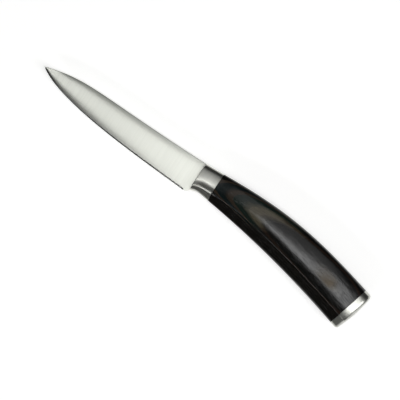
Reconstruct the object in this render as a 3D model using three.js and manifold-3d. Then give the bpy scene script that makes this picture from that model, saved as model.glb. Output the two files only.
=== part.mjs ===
// A small utility knife lying on its right side: a steel blade, a steel bolster, a swelling grip of laminated
// wood and a slanted steel end cap, held together by a tang that runs through the grip.
// X runs from the point to the butt, Y from the edge to the spine, Z up through the thickness of the knife.
// While the pieces are made, X is 0 at the bolster's front face, Y is 0 at the spine there and Z is 0 in
// the middle of the thickness. The finished knife lies with its lowest point at Z 0, centred over X and Y.

import * as THREE from "three";
import { mergeVertices } from "three/addons/utils/BufferGeometryUtils.js";
import Module from "manifold-3d";

// Blade, in millimetres unless a name says otherwise
const BLADE_LENGTH = 121;
const HEEL_HEIGHT = 21.2;
const HEEL_SETBACK = 4.2;
const POINT_DROP = 4.75;
const SPINE_THICKNESS = 1.9;
const POINT_THICKNESS = 1.2;
const BEHIND_EDGE_THICKNESS = 0.7;
const EDGE_THICKNESS = 0.08;
const EDGE_ANGLE_DEGREES = 18;
const EASED_SPINE = 0.25;
const EASED_HEEL = 0.1;
const POINT_FLAT_SHARE = 0.004;

// The sides of the blade are ground slightly crowned: how far the crown stands out at heel and point, as
// a share of the side's height, how far down from the spine it lies, and how flat the side is around it
const HEEL_CROWN = 0.0085;
const POINT_CROWN = 0.0175;
const CROWN_PLACE_SHARE = 0.3;
const CROWN_FLATNESS = 3;

// Curve handles of the blade: share of the blade's length ahead of the bolster, then a height.
// The spine's heights are in millimetres above the spine line, the edge's are shares of the heel's height.
const SPINE_HANDLES = [[0.745, 4.2], [0.7, -0.75]];
const EDGE_HANDLES = [[0.84, 0.865], [0.35, 0.912]];
const HEEL_HANDLE_SHARE = 0.33;

// Bolster and grip, seen from the side: heights of evenly spaced Bezier handles from bolster face to cap
const BOLSTER_LENGTH = 13;
const GRIP_LENGTH = 105.6;
const SPINE_SIDE_HEIGHTS = [0, 1.4, 4.9, -2.2, -9.6];
const BELLY_SIDE_HEIGHTS = [-17, -22.35, -39.15];
const TOE_DROP = 1.9;
const TOE_LENGTH = 6.5;
const BOLSTER_EDGE_RADIUS = 0.5;

// The ridge that parts the side of the grip from its belly facet: heights of its handles above the belly
const RIDGE_RISES = [2.8, 4.3, 7.1, 7.1];
const RIDGE_RUN = 40;
const RIDGE_SINK = 1.2;
const RIDGE_ROUNDING = 0.4;

// Thickness of the hilt: parallel sides on the bolster, a flare where it meets the grip, a long swell, and
// a little less again at the butt
const BOLSTER_THICKNESS = 12.5;
const FLARE_START = 9;
const FLARE_RUN = 8;
const GRIP_THICKNESS = 19;
const SWELL_RUN = 80;
const SWELL_POWER = 3;
const BUTT_TAPER = 0.8;
const BUTT_TAPER_RUN = 22;

// Section of the hilt: a domed side between the crest and a squarish shoulder at the spine, which flattens
// out towards the butt, and under the ridge a tilted facet and a keel that is flat in its middle
const CREST_SHARE = 0.64;
const SIDE_DOME = 0.15;
const BUTT_DOME = 0.03;
const FLATTENING_START = 70;
const SHOULDER_SQUARENESS = 6;
const SHOULDER_TURN_DEGREES = 15;
const FACET_TILT_DEGREES = 37;
const BELLY_FLATNESS = 4;

// End cap, measured square to its slanted seat
const CAP_SLANT_DEGREES = 14.2;
const CAP_THICKNESS = 5.4;
const CAP_CROWN = 0.9;
const CAP_EDGE_RADIUS = 2.2;
const GLUE_LINE = 0.1;

// Tang: a stub behind the blade, and a bar welded to it whose tail ends in the cap
const TANG_BAR_THICKNESS = 2;
const TANG_FRONT_HEIGHT = 10;
const TANG_REAR_HEIGHT = 8;
const TANG_SHOULDER = 0.25;
const TANG_CLEARANCE = 0.15;
const STUB_REACH = 8;
const TAIL_COVER = 2;
const OVERCUT = 1;

// Veneers of the laminate, laid outwards from the core in pairs of one brown and one black
const BROWN_VENEER = 0.36;
const BLACK_VENEER = 0.84;
const LEAST_OUTER_VENEER = 0.25;

// Fineness of the curves
const BLADE_STEPS = 30;
const HEEL_STEPS = 4;
const BLADE_SIDE_STEPS = 4;
const BOLSTER_STEPS = 4;
const GRIP_STEPS = 15;
const SHOULDER_STEPS = 5;
const DOME_STEPS = 4;
const UNDERCUT_STEPS = 3;
const BELLY_STEPS = 4;
const ROUNDING_STEPS = 4;
const TANG_STEPS = 10;
const CROWN_RING_SHARE = 0.55;
const MERGE_DISTANCE = 1e-5;
const CURVE_TOLERANCE = 1e-9;

const STEEL = new THREE.MeshStandardMaterial({ color: 0xd4d6d0, roughness: 0.32, metalness: 1 });
const BRUSHED_STEEL = new THREE.MeshStandardMaterial({ color: 0xb4b4ae, roughness: 0.35, metalness: 1 });
const RAW_STEEL = new THREE.MeshStandardMaterial({ color: 0x84868a, roughness: 0.6, metalness: 1 });
const BROWN_WOOD = new THREE.MeshStandardMaterial({ color: 0x4b3b2d, roughness: 0.38, metalness: 0 });
const BLACK_WOOD = new THREE.MeshStandardMaterial({ color: 0x15191a, roughness: 0.35, metalness: 0 });

const wasm = await Module();
wasm.setup();

const { clamp, degToRad, lerp, smoothstep } = THREE.MathUtils;
const QUARTER_TURN = Math.PI / 2;

// Shared tools

// Height of a Bezier curve at a share of its run, its handles evenly spaced; it holds a little past its ends.
function bezierHeight(share, heights) {
  let row = heights;
  while (row.length > 1) {
    const last = row;
    row = last.slice(1).map((height, i) => lerp(last[i], height, share));
  }
  return row[0];
}

// Height of a curve that runs steadily along +X, found by halving.
function heightAt(curve, x) {
  let low = 0;
  let high = 1;
  while (high - low > CURVE_TOLERANCE) {
    const half = (low + high) / 2;
    if (curve.getPoint(half).x < x) low = half;
    else high = half;
  }
  return curve.getPoint(high).y;
}

function middleOf(loop) {
  const sum = loop.reduce((total, corner) => total.add(corner), new THREE.Vector3());
  return sum.divideScalar(loop.length);
}

// A loop drawn in towards its middle by the same distance all round.
function drawnIn(loop, distance) {
  const centre = middleOf(loop);
  const inward = (corner) => centre.clone().sub(corner).normalize();
  return loop.map((corner) => corner.clone().addScaledVector(inward(corner), distance));
}

// The loop from +Y round by +Z and -Y to -Z, given its +Z half.
function mirroredLoop(half) {
  const otherHalf = half.filter((corner) => corner.z > 0).reverse();
  return [...half, ...otherHalf.map(({ x, y, z }) => new THREE.Vector3(x, y, -z))];
}

// A closed skin over a row of loops, ordered along +X and wound from +Y to +Z, with a fan over each end.
function loft(loops, lastCentre = middleOf(loops.at(-1))) {
  const count = loops[0].length;
  const points = [...loops.flat(), middleOf(loops[0]), lastCentre];
  const firstHub = points.length - 2;
  const lastHub = points.length - 1;
  const lastLoop = (loops.length - 1) * count;
  const triangles = [];
  for (let j = 0; j < count; j++) {
    const next = (j + 1) % count;
    triangles.push(firstHub, next, j);
    triangles.push(lastHub, lastLoop + j, lastLoop + next);
    for (let start = 0; start < lastLoop; start += count) {
      triangles.push(start + j, start + next, start + count + next);
      triangles.push(start + j, start + count + next, start + count + j);
    }
  }
  return solidOf(new THREE.BufferGeometry().setFromPoints(points).setIndex(triangles));
}

function solidOf(geometry) {
  geometry.deleteAttribute("normal");
  geometry.deleteAttribute("uv");
  const merged = mergeVertices(geometry, MERGE_DISTANCE);
  const vertProperties = merged.getAttribute("position").array;
  const triVerts = new Uint32Array(merged.index.array);
  return new wasm.Manifold(new wasm.Mesh({ numProp: 3, vertProperties, triVerts }));
}

function geometryOf(solid) {
  const mesh = solid.getMesh();
  const geometry = new THREE.BufferGeometry();
  geometry.setAttribute("position", new THREE.BufferAttribute(mesh.vertProperties, 3));
  geometry.setIndex(new THREE.BufferAttribute(mesh.triVerts, 1));
  geometry.computeVertexNormals();
  return geometry;
}

// Form shared by the bolster, the grip and the cap

const capSlant = degToRad(CAP_SLANT_DEGREES);
const hiltLength = BOLSTER_LENGTH + GRIP_LENGTH;

function spineSide(x) {
  return bezierHeight(x / hiltLength, SPINE_SIDE_HEIGHTS);
}

function bellySide(x) {
  return bezierHeight(x / hiltLength, BELLY_SIDE_HEIGHTS);
}

function middleHeight(x) {
  return (spineSide(x) + bellySide(x)) / 2;
}

// The belly with the toe that sweeps down to the heel of the blade at the front of the bolster.
function toedBelly(x) {
  return bellySide(x) - TOE_DROP * Math.max(0, 1 - x / TOE_LENGTH) ** 2;
}

// Half thickness at the crest. The swell is a power curve that runs out level; the flare ahead of it is
// a parabola that leaves the bolster's parallel sides level and meets the swell at the same slope.
const swellStart = FLARE_START + FLARE_RUN;
const flareShare = (SWELL_POWER * FLARE_RUN) / SWELL_RUN;
const swell = (GRIP_THICKNESS - BOLSTER_THICKNESS) / (1 + flareShare / 2);
function crestHalf(x) {
  const unswollen = clamp(1 - (x - swellStart) / SWELL_RUN, 0, 1);
  const unflared = clamp((swellStart - x) / FLARE_RUN, 0, 1);
  const pastTaper = Math.max(0, 1 - (hiltLength - x) / BUTT_TAPER_RUN);
  const swellLoss = swell * (unswollen ** SWELL_POWER + flareShare * unflared * (1 - unflared / 2));
  return (GRIP_THICKNESS - swellLoss - BUTT_TAPER * pastTaper ** 2) / 2;
}

// Where the corners of the side lie on the way from the crest, 0, to the spine, 1, in order from the spine.
const shoulderTurn = degToRad(SHOULDER_TURN_DEGREES);
const sideReaches = [];
for (let i = 1; i <= SHOULDER_STEPS; i++) {
  const turn = lerp(QUARTER_TURN, shoulderTurn, i / SHOULDER_STEPS);
  sideReaches.push(Math.sin(turn) ** (2 / SHOULDER_SQUARENESS));
}
for (let i = 1; i <= DOME_STEPS; i++) {
  sideReaches.push(Math.sin(shoulderTurn) ** (2 / SHOULDER_SQUARENESS) * (1 - i / DOME_STEPS));
}

// Share of the crest's thickness that is left there.
function sideFall(x, reach) {
  const dome = lerp(SIDE_DOME, BUTT_DOME, smoothstep(x, FLATTENING_START, hiltLength));
  const rounding = (1 - reach ** SHOULDER_SQUARENESS) ** (1 / SHOULDER_SQUARENESS);
  return (1 - dome * reach ** 2) * rounding;
}

// The +Z half of the section at x, from the middle of the spine side to the middle of the belly, as [y, z].
function halfSection(x) {
  const top = spineSide(x);
  const belly = toedBelly(x);
  const ridge = belly + bezierHeight(Math.min(1, x / RIDGE_RUN), RIDGE_RISES);
  const crest = lerp(top, ridge, CREST_SHARE);
  const half = crestHalf(x);
  const ridgeHalf = half - RIDGE_SINK;
  const corners = [[top, 0]];

  // Spine side to crest: the shoulder and then the domed side
  corners.push(...sideReaches.map((reach) => [lerp(crest, top, reach), half * sideFall(x, reach)]));

  // Crest to ridge: the side falls back a little on its way down
  const roundedShare = 1 - RIDGE_ROUNDING / (crest - ridge);
  for (let i = 1; i <= UNDERCUT_STEPS; i++) {
    const share = (i / UNDERCUT_STEPS) * roundedShare;
    corners.push([lerp(crest, ridge, share), half - RIDGE_SINK * share ** 2]);
  }

  // Ridge to belly: a flat facet that runs into a rounded keel without a crease
  const tilt = Math.tan(degToRad(FACET_TILT_DEGREES));
  const keelHalf = (ridgeHalf - (ridge - belly) * tilt) / (1 - 1 / BELLY_FLATNESS);
  const keelTop = belly + keelHalf / tilt / BELLY_FLATNESS;
  const easedShare = RIDGE_ROUNDING / Math.hypot(ridge - keelTop, ridgeHalf - keelHalf);
  corners.push([lerp(ridge, keelTop, easedShare), lerp(ridgeHalf, keelHalf, easedShare)]);
  for (let i = BELLY_STEPS; i >= 0; i--) {
    const share = i / BELLY_STEPS;
    corners.push([lerp(belly, keelTop, share ** BELLY_FLATNESS), keelHalf * share]);
  }
  return corners;
}

// The form's loop on a plane that leans back by an angle, through a point in the middle of the form.
function formLoop(x, middle = middleHeight(x), slant = 0) {
  const lean = Math.tan(slant);
  const passes = 6;
  const half = halfSection(x).map((_, j) => {
    let height = middle;
    for (let pass = 0; pass < passes; pass++) {
      height = halfSection(x + lean * (height - middle))[j][0];
    }
    const place = x + lean * (height - middle);
    return new THREE.Vector3(place, height, halfSection(place)[j][1]);
  });
  return mirroredLoop(half);
}

// Blade

const bladePoint = new THREE.Vector2(-BLADE_LENGTH, -POINT_DROP);
const heel = new THREE.Vector2(-HEEL_SETBACK, -HEEL_HEIGHT);
const spineCurve = new THREE.CubicBezierCurve(
  bladePoint,
  ...SPINE_HANDLES.map(([share, rise]) => new THREE.Vector2(-share * BLADE_LENGTH, rise)),
  new THREE.Vector2(0, spineSide(0)),
);
const edgeCurve = new THREE.CubicBezierCurve(
  bladePoint,
  ...EDGE_HANDLES.map(([share, depth]) => new THREE.Vector2(-share * BLADE_LENGTH, -depth * HEEL_HEIGHT)),
  heel,
);
const heelCurve = new THREE.QuadraticBezierCurve(
  heel,
  new THREE.Vector2(-HEEL_SETBACK * HEEL_HANDLE_SHARE, -HEEL_HEIGHT),
  new THREE.Vector2(0, toedBelly(0)),
);

// Half thickness of the wedge that the blade tapers by, from the spine to the edge bevel, without its crown.
const lengthwiseTaper = (SPINE_THICKNESS - POINT_THICKNESS) / 2 / BLADE_LENGTH;
const grindTaper = (SPINE_THICKNESS - BEHIND_EDGE_THICKNESS) / 2 / HEEL_HEIGHT;
function groundHalf(x, y) {
  return SPINE_THICKNESS / 2 + lengthwiseTaper * x + grindTaper * y;
}

// Share of the crown's height that a side has on the way from the spine, 0, to the bevel, 1.
function crownShare(share) {
  const run = share < CROWN_PLACE_SHARE ? CROWN_PLACE_SHARE : 1 - CROWN_PLACE_SHARE;
  return 1 - Math.abs((share - CROWN_PLACE_SHARE) / run) ** CROWN_FLATNESS;
}

// One section of the blade, either sharpened or left blunt as it is behind the heel.
function bladeLoop(x, edge, isSharp) {
  const spine = heightAt(spineCurve, x);
  const height = spine - edge;
  const bevelSlope = Math.tan(degToRad(EDGE_ANGLE_DEGREES)) - grindTaper;
  const bevelHeight = (groundHalf(x, edge) - EDGE_THICKNESS / 2) / bevelSlope;
  const shoulder = edge + Math.min(isSharp ? bevelHeight : EASED_HEEL, height / 2);
  const edgeHalf = isSharp ? EDGE_THICKNESS / 2 : groundHalf(x, edge) - EASED_HEEL;
  const ease = Math.min(EASED_SPINE, height / 4);
  const crown = lerp(HEEL_CROWN, POINT_CROWN, -x / BLADE_LENGTH) * (spine - ease - shoulder);
  const half = [[spine, groundHalf(x, spine) - ease]];
  for (let i = 0; i <= BLADE_SIDE_STEPS; i++) {
    const share = i / BLADE_SIDE_STEPS;
    const y = lerp(spine - ease, shoulder, share);
    half.push([y, groundHalf(x, y) + crown * crownShare(share)]);
  }
  half.push([edge, edgeHalf]);
  return mirroredLoop(half.map(([y, z]) => new THREE.Vector3(x, y, z)));
}

function bladeBody() {
  const loops = [];
  for (let i = 0; i <= BLADE_STEPS; i++) {
    const { x, y } = edgeCurve.getPoint(lerp(POINT_FLAT_SHARE, 1, i / BLADE_STEPS));
    loops.push(bladeLoop(x, y, true));
  }
  for (let i = 1; i <= HEEL_STEPS; i++) {
    const { x, y } = heelCurve.getPoint(i / HEEL_STEPS);
    loops.push(bladeLoop(x, y, false));
  }
  return loft(loops);
}

// Bolster, grip and cap

function bolsterBody() {
  const loops = [];
  for (let i = ROUNDING_STEPS; i > 0; i--) {
    const turn = QUARTER_TURN * (i / ROUNDING_STEPS);
    const x = BOLSTER_EDGE_RADIUS * (1 - Math.sin(turn));
    loops.push(drawnIn(formLoop(x), BOLSTER_EDGE_RADIUS * (1 - Math.cos(turn))));
  }
  for (let i = 0; i <= BOLSTER_STEPS; i++) {
    loops.push(formLoop(lerp(BOLSTER_EDGE_RADIUS, BOLSTER_LENGTH, i / BOLSTER_STEPS)));
  }
  return loft(loops);
}

function gripBody() {
  const loops = [];
  for (let i = 0; i <= GRIP_STEPS; i++) {
    const share = i / GRIP_STEPS;
    const x = lerp(BOLSTER_LENGTH + GLUE_LINE, hiltLength, share);
    loops.push(formLoop(x, middleHeight(x), capSlant * share));
  }
  return loft(loops);
}

// Distance along X between two planes that lean with the cap, a given depth apart.
function alongCap(depth) {
  return depth / Math.cos(capSlant);
}

function capBody() {
  const capLoop = (depth) => formLoop(hiltLength + alongCap(depth), middleHeight(hiltLength), capSlant);
  const loops = [capLoop(GLUE_LINE)];
  for (let i = 0; i <= ROUNDING_STEPS; i++) {
    const turn = QUARTER_TURN * (i / ROUNDING_STEPS);
    const depth = CAP_THICKNESS - CAP_EDGE_RADIUS * (1 - Math.sin(turn));
    loops.push(drawnIn(capLoop(depth), CAP_EDGE_RADIUS * (1 - Math.cos(turn))));
  }
  const outward = new THREE.Vector3(Math.cos(capSlant), -Math.sin(capSlant), 0);
  const rim = loops.at(-1);
  const centre = middleOf(rim);
  const ringHeight = CAP_CROWN * (1 - CROWN_RING_SHARE ** 2);
  const ring = rim.map((corner) => centre.clone().lerp(corner, CROWN_RING_SHARE));
  loops.push(ring.map((corner) => corner.addScaledVector(outward, ringHeight)));
  return loft(loops, centre.clone().addScaledVector(outward, CAP_CROWN));
}

// Tang and the room it needs

const stubEnd = BOLSTER_LENGTH + STUB_REACH;
const tailEnd = hiltLength + alongCap(CAP_THICKNESS - TAIL_COVER);
const coreHalf = TANG_BAR_THICKNESS / 2 + TANG_CLEARANCE;

// A length of tang that follows the middle of the grip and comes to lean with the cap.
// Its half thickness depends on its height, and a clearance makes it the room for itself.
function tangBody(from, to, halfAt, clearance = 0) {
  const loops = [];
  for (let i = 0; i <= TANG_STEPS; i++) {
    const x = lerp(from, to, i / TANG_STEPS);
    const middle = middleHeight(x);
    const lean = Math.tan(capSlant * clamp((x - stubEnd) / (hiltLength - stubEnd), 0, 1));
    const reach = lerp(TANG_FRONT_HEIGHT, TANG_REAR_HEIGHT, x / tailEnd) / 2;
    const half = [reach, -reach].map((offset) => {
      const outer = offset + Math.sign(offset) * clearance;
      return new THREE.Vector3(x + lean * outer, middle + outer, halfAt(middle + offset) + clearance);
    });
    loops.push(mirroredLoop(half));
  }
  return loft(loops);
}

// The stub keeps the wedge of the blade, set in by a shoulder that closes the bolster's slot from in front.
function stubHalf(y) {
  return groundHalf(0, y) - TANG_SHOULDER;
}

function barHalf() {
  return TANG_BAR_THICKNESS / 2;
}

const slot = tangBody(-OVERCUT, BOLSTER_LENGTH + OVERCUT, stubHalf, TANG_CLEARANCE);
const channel = tangBody(BOLSTER_LENGTH - OVERCUT, tailEnd + TANG_CLEARANCE, barHalf, TANG_CLEARANCE);

// Laminate

const grip = gripBody();

// The slice of the grip between two heights of its thickness.
function gripSlice(from, to) {
  const span = 4 * hiltLength;
  const slab = new THREE.BoxGeometry(span, span, to - from).translate(0, 0, (from + to) / 2);
  return grip.intersect(solidOf(slab));
}

const body = new THREE.Group();

function addPiece(name, solid, material) {
  const mesh = new THREE.Mesh(geometryOf(solid), material);
  mesh.name = name;
  body.add(mesh);
}

// The channel for the tang parts the middle layer into a strip on the spine side and one on the belly side.
function addCoreStrips() {
  const strips = gripSlice(-coreHalf, coreHalf).subtract(channel).decompose();
  strips.sort((a, b) => b.boundingBox().max[1] - a.boundingBox().max[1]);
  const [spineStrip, bellyStrip] = strips;
  addPiece("spine_core_strip", spineStrip, BLACK_WOOD);
  addPiece("belly_core_strip", bellyStrip, BLACK_WOOD);
}

// Brown and black veneers in turn, out to the swell of the grip, where the last one takes what is left.
function addVeneers(side, direction) {
  const outside = GRIP_THICKNESS / 2;
  let inner = coreHalf;
  let isLast = false;
  for (let count = 0; !isLast; count++) {
    const isBrown = count % 2 === 0;
    const outer = inner + (isBrown ? BROWN_VENEER : BLACK_VENEER);
    isLast = outer > outside - LEAST_OUTER_VENEER;
    const faces = [direction * inner, direction * (isLast ? outside + OVERCUT : outer)];
    const name = `${side}_${isBrown ? "brown" : "black"}_veneer_${Math.floor(count / 2) + 1}`;
    addPiece(name, gripSlice(Math.min(...faces), Math.max(...faces)), isBrown ? BROWN_WOOD : BLACK_WOOD);
    inner = outer;
  }
}

addPiece("blade", bladeBody().add(tangBody(0, stubEnd, stubHalf)), STEEL);
addPiece("tang_bar", tangBody(stubEnd, tailEnd, barHalf), RAW_STEEL);
addPiece("bolster", bolsterBody().subtract(slot), BRUSHED_STEEL);
addPiece("end_cap", capBody().subtract(channel), BRUSHED_STEEL);
addCoreStrips();
addVeneers("left", 1);
addVeneers("right", -1);

const box = new THREE.Box3().setFromObject(body);
const centre = box.getCenter(new THREE.Vector3());
body.position.set(-centre.x, -centre.y, -box.min.z);

const knife = new THREE.Group();
knife.add(body);

export default knife;
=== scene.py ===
# %% [markdown]
# # A kitchen knife with a laminated grip
#
# The knife lies on its right side: blade to -X, butt to +X, edge to -Y, spine to +Y. The frame holds plain
# solids of all its pieces, with their places and sizes. This lesson makes finer pieces over them and gives
# each its real finish. The frame is loaded first, and the box around it is kept, so that the new pieces can
# be measured against it.

# %% Load the frame
import math

import bmesh
import bpy
import numpy as np
from mathutils import Matrix, Vector


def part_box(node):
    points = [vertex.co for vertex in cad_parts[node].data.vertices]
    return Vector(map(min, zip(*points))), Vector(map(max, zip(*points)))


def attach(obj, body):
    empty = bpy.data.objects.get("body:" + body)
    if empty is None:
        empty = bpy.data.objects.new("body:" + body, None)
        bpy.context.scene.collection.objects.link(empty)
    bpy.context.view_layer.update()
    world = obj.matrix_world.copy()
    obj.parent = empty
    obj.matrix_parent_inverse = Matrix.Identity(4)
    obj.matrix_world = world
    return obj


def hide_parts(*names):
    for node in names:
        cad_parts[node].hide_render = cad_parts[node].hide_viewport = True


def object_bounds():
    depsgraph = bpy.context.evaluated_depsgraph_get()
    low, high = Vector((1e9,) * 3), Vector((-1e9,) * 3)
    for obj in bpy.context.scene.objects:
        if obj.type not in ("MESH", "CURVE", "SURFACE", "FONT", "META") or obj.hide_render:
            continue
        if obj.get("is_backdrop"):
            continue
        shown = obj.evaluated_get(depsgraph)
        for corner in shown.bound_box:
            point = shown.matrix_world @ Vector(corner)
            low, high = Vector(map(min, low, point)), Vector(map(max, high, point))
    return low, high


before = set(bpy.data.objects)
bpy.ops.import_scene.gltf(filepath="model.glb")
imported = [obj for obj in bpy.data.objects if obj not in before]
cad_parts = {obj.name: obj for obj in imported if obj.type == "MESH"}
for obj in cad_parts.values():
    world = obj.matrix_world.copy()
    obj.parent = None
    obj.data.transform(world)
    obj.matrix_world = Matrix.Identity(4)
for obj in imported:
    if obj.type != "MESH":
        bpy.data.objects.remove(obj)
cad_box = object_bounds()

print("pieces in the frame:", len(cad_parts))

# %% [markdown]
# ## One origin for the whole knife
#
# A maker measures a knife from the front of the bolster, along the spine. All sizes below are in millimetres
# from that corner, in the middle of the thickness, and are turned into metres in the frame only when
# something is made.

# %% The knife's own origin
MM = 0.001
HEEL_HEIGHT = 21.2

blade_low, blade_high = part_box("blade")
bolster_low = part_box("bolster")[0]
knife_origin = Vector((
    bolster_low.x,
    blade_low.y + HEEL_HEIGHT * MM,
    (blade_low.z + blade_high.z) / 2,
))


def in_frame(point):
    """The place in the frame of a point on the knife."""
    return knife_origin + Vector(point) * MM


print("knife origin in the frame, mm:", [round(value / MM, 3) for value in knife_origin])

# %% [markdown]
# ## Camera
#
# The photograph looks almost straight down on the left side, from a little towards the butt, with the knife
# lying diagonally across a square picture. A long lens keeps both ends of the knife at nearly the same
# scale.

# %% Camera
CAMERA_TILT = math.radians(8)
CAMERA_ROLL = math.radians(33.65)
CAMERA_DISTANCE = 650
CAMERA_AIM = (8.61, -20.56, 0)
CAMERA_LENS = 95.4
CAMERA_SENSOR = 36

back = Vector((math.sin(CAMERA_TILT), 0, math.cos(CAMERA_TILT)))
across = Vector((math.cos(CAMERA_TILT), 0, -math.sin(CAMERA_TILT)))
upright = Vector((0, 1, 0))
right = across * math.cos(CAMERA_ROLL) + upright * math.sin(CAMERA_ROLL)
up = upright * math.cos(CAMERA_ROLL) - across * math.sin(CAMERA_ROLL)

camera_data = bpy.data.cameras.new("camera")
camera_data.lens = CAMERA_LENS
camera_data.sensor_width = CAMERA_SENSOR
camera = bpy.data.objects.new("camera", camera_data)
bpy.context.scene.collection.objects.link(camera)
camera_turn = Matrix((right, up, back)).transposed().to_4x4()
camera_place = in_frame(CAMERA_AIM) + back * CAMERA_DISTANCE * MM
camera.matrix_world = Matrix.Translation(camera_place) @ camera_turn
bpy.context.scene.camera = camera
bpy.context.scene.view_settings.view_transform = "Standard"

print("camera height, mm:", round(camera_place.z / MM, 1))

# %% [markdown]
# ## Small tools for node trees
#
# Every finish below is a small network of shader nodes. A few helpers keep that short: they add a node and
# fill in its settings and inputs, do a step of arithmetic, or blend two colours. One makes noise that is
# drawn out in one direction, which is what brush marks on steel and grain in wood have in common.

# %% Nodes and arithmetic


def fill(tree, node, inputs):
    """Links a node's inputs to other sockets, or sets them to plain values."""
    for name, value in inputs.items():
        if isinstance(value, bpy.types.NodeSocket):
            tree.links.new(value, node.inputs[name])
        else:
            node.inputs[name].default_value = value


def add_node(tree, kind, inputs=None, **settings):
    """A new node with its settings, and with its inputs filled in."""
    node = tree.nodes.new(kind)
    for name, value in settings.items():
        setattr(node, name, value)
    fill(tree, node, inputs or {})
    return node


def calculate(tree, operation, *values):
    """One step of arithmetic on values or sockets."""
    return add_node(tree, "ShaderNodeMath", dict(enumerate(values)), operation=operation).outputs[0]


def rescale(tree, value, start, end, low=0.0, high=1.0):
    """Turns a value that runs from start to end into one that runs from low to high, and stops there."""
    return add_node(tree, "ShaderNodeMapRange", {
        "Value": value, "From Min": start, "From Max": end, "To Min": low, "To Max": high,
    }).outputs[0]


def split(tree, place):
    """The X, Y and Z of a place or a direction."""
    return add_node(tree, "ShaderNodeSeparateXYZ", {"Vector": place}).outputs


print("helpers for nodes ready")

# %% Noise, colours and finishes
NOISE_RANGE = (0.3, 0.7)
MIX_COLOURS = (6, 7)
MIXED_COLOUR = 2


def knife_place(tree):
    """The place on the knife in millimetres from its own origin."""
    place = add_node(tree, "ShaderNodeTexCoord").outputs["Object"]
    settings = {"Vector": place, "Location": -knife_origin / MM, "Scale": [1 / MM] * 3}
    return add_node(tree, "ShaderNodeMapping", settings).outputs[0]


def drawn_out_noise(tree, size, detail=2.0, roughness=0.5, place=None):
    """Noise whose marks have the given length along X, Y and Z, in millimetres."""
    scale = [1 / length for length in size]
    stretched = add_node(tree, "ShaderNodeMapping", {"Vector": place or knife_place(tree), "Scale": scale})
    settings = {"Vector": stretched.outputs[0], "Scale": 1.0, "Detail": detail, "Roughness": roughness}
    return add_node(tree, "ShaderNodeTexNoise", settings).outputs["Fac"]


def spread(tree, noise, low, high):
    """Turns noise, which stays around one half, into a value from low to high."""
    return rescale(tree, noise, *NOISE_RANGE, low, high)


def blend_colours(tree, share, *colours):
    """A blend of two colours. A mix node has inputs of the same name for numbers, directions and colours, so
    those for colours are picked by their number."""
    mix = add_node(tree, "ShaderNodeMix", {"Factor": share}, data_type="RGBA")
    for number, colour in zip(MIX_COLOURS, colours):
        is_socket = isinstance(colour, bpy.types.NodeSocket)
        fill(tree, mix, {number: colour if is_socket else (*colour, 1)})
    return mix.outputs[MIXED_COLOUR]


def new_finish(name):
    """A new material, with its node tree and its shader."""
    finish = bpy.data.materials.new(name)
    finish.use_nodes = True
    return finish, finish.node_tree, finish.node_tree.nodes["Principled BSDF"]


def raised_marks(tree, height, depth):
    """The surface's direction where a noise stands up from it by a depth in millimetres."""
    settings = {"Height": height, "Strength": 1.0, "Distance": depth * MM}
    return add_node(tree, "ShaderNodeBump", settings).outputs[0]


print("helpers for finishes ready")

# %% [markdown]
# ## Floor
#
# The knife lies on a plain white board. The board is a matt surface that keeps the shadow of the knife. The
# photograph is exposed so that the board comes out white: a small lift on what the camera and the mirroring
# steel see of it does the same, without putting more light on the knife.

# %% Floor
FLOOR_SIZE = 12000
FLOOR_COLOUR = (0.93, 0.93, 0.925)
FLOOR_LIFT = 0.58
BOARD_SPECKLE_SIZE = (2, 2, 2)
BOARD_SPECKLE_SHADE = 0.99


def as_object(name, form, *finishes):
    """Puts a form into the scene under a name, with its finishes."""
    mesh = bpy.data.meshes.new(name)
    form.to_mesh(mesh)
    form.free()
    for finish in finishes:
        mesh.materials.append(finish)
    thing = bpy.data.objects.new(name, mesh)
    bpy.context.scene.collection.objects.link(thing)
    return thing


def white_board():
    """A matt, very faintly speckled white, lifted where the camera or a mirroring surface sees it."""
    finish, tree, shader = new_finish("white_board")
    speckle = drawn_out_noise(tree, BOARD_SPECKLE_SIZE)
    shaded = [BOARD_SPECKLE_SHADE * part for part in FLOOR_COLOUR]
    rays = add_node(tree, "ShaderNodeLightPath").outputs
    is_mirrored = calculate(tree, "MAXIMUM", rays["Is Glossy Ray"], rays["Is Transmission Ray"])
    is_seen = calculate(tree, "MAXIMUM", rays["Is Camera Ray"], is_mirrored)
    fill(tree, shader, {
        "Base Color": blend_colours(tree, speckle, FLOOR_COLOUR, shaded),
        "Roughness": 1.0,
        "Specular IOR Level": 0.0,
        "Emission Color": (*FLOOR_COLOUR, 1),
        "Emission Strength": calculate(tree, "MULTIPLY", is_seen, FLOOR_LIFT),
    })
    return finish


floor_form = bmesh.new()
bmesh.ops.create_grid(floor_form, x_segments=1, y_segments=1, size=FLOOR_SIZE / 2 * MM)
floor = as_object("floor", floor_form, white_board())
floor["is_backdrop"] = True

print("floor", FLOOR_SIZE, "mm square at height", floor.location.z)

# %% [markdown]
# ## Light
#
# Steel shows what stands around it. A long softbox hangs over the knife, so that the middle of every rounded
# side is bright and falls off to dark towards spine and belly. A dim reflector beside it, on the spine side,
# ends ahead of the butt, so the cap stays dark there. A large lamp beyond the butt and a fainter one beyond
# the point light the board and the wood: the long sides of the knife don't mirror them. A low lamp on the
# edge side draws the bright line along the ridge of the bolster. The room is dim, and pale only near the
# horizon.

# %% Lamps


def softbox(name, place, aim, size, radiance):
    """A rectangular lamp of a given brightness; its size is its two sides, in millimetres."""
    lamp_data = bpy.data.lights.new(name, "AREA")
    lamp_data.shape = "RECTANGLE"
    lamp_data.size = size[0] * MM
    lamp_data.size_y = size[1] * MM
    lamp_data.energy = radiance * math.pi * lamp_data.size * lamp_data.size_y
    lamp = bpy.data.objects.new(name, lamp_data)
    bpy.context.scene.collection.objects.link(lamp)
    lamp.location = in_frame(place)
    lamp.rotation_euler = (in_frame(place) - in_frame(aim)).to_track_quat("Z", "Y").to_euler()


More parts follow.
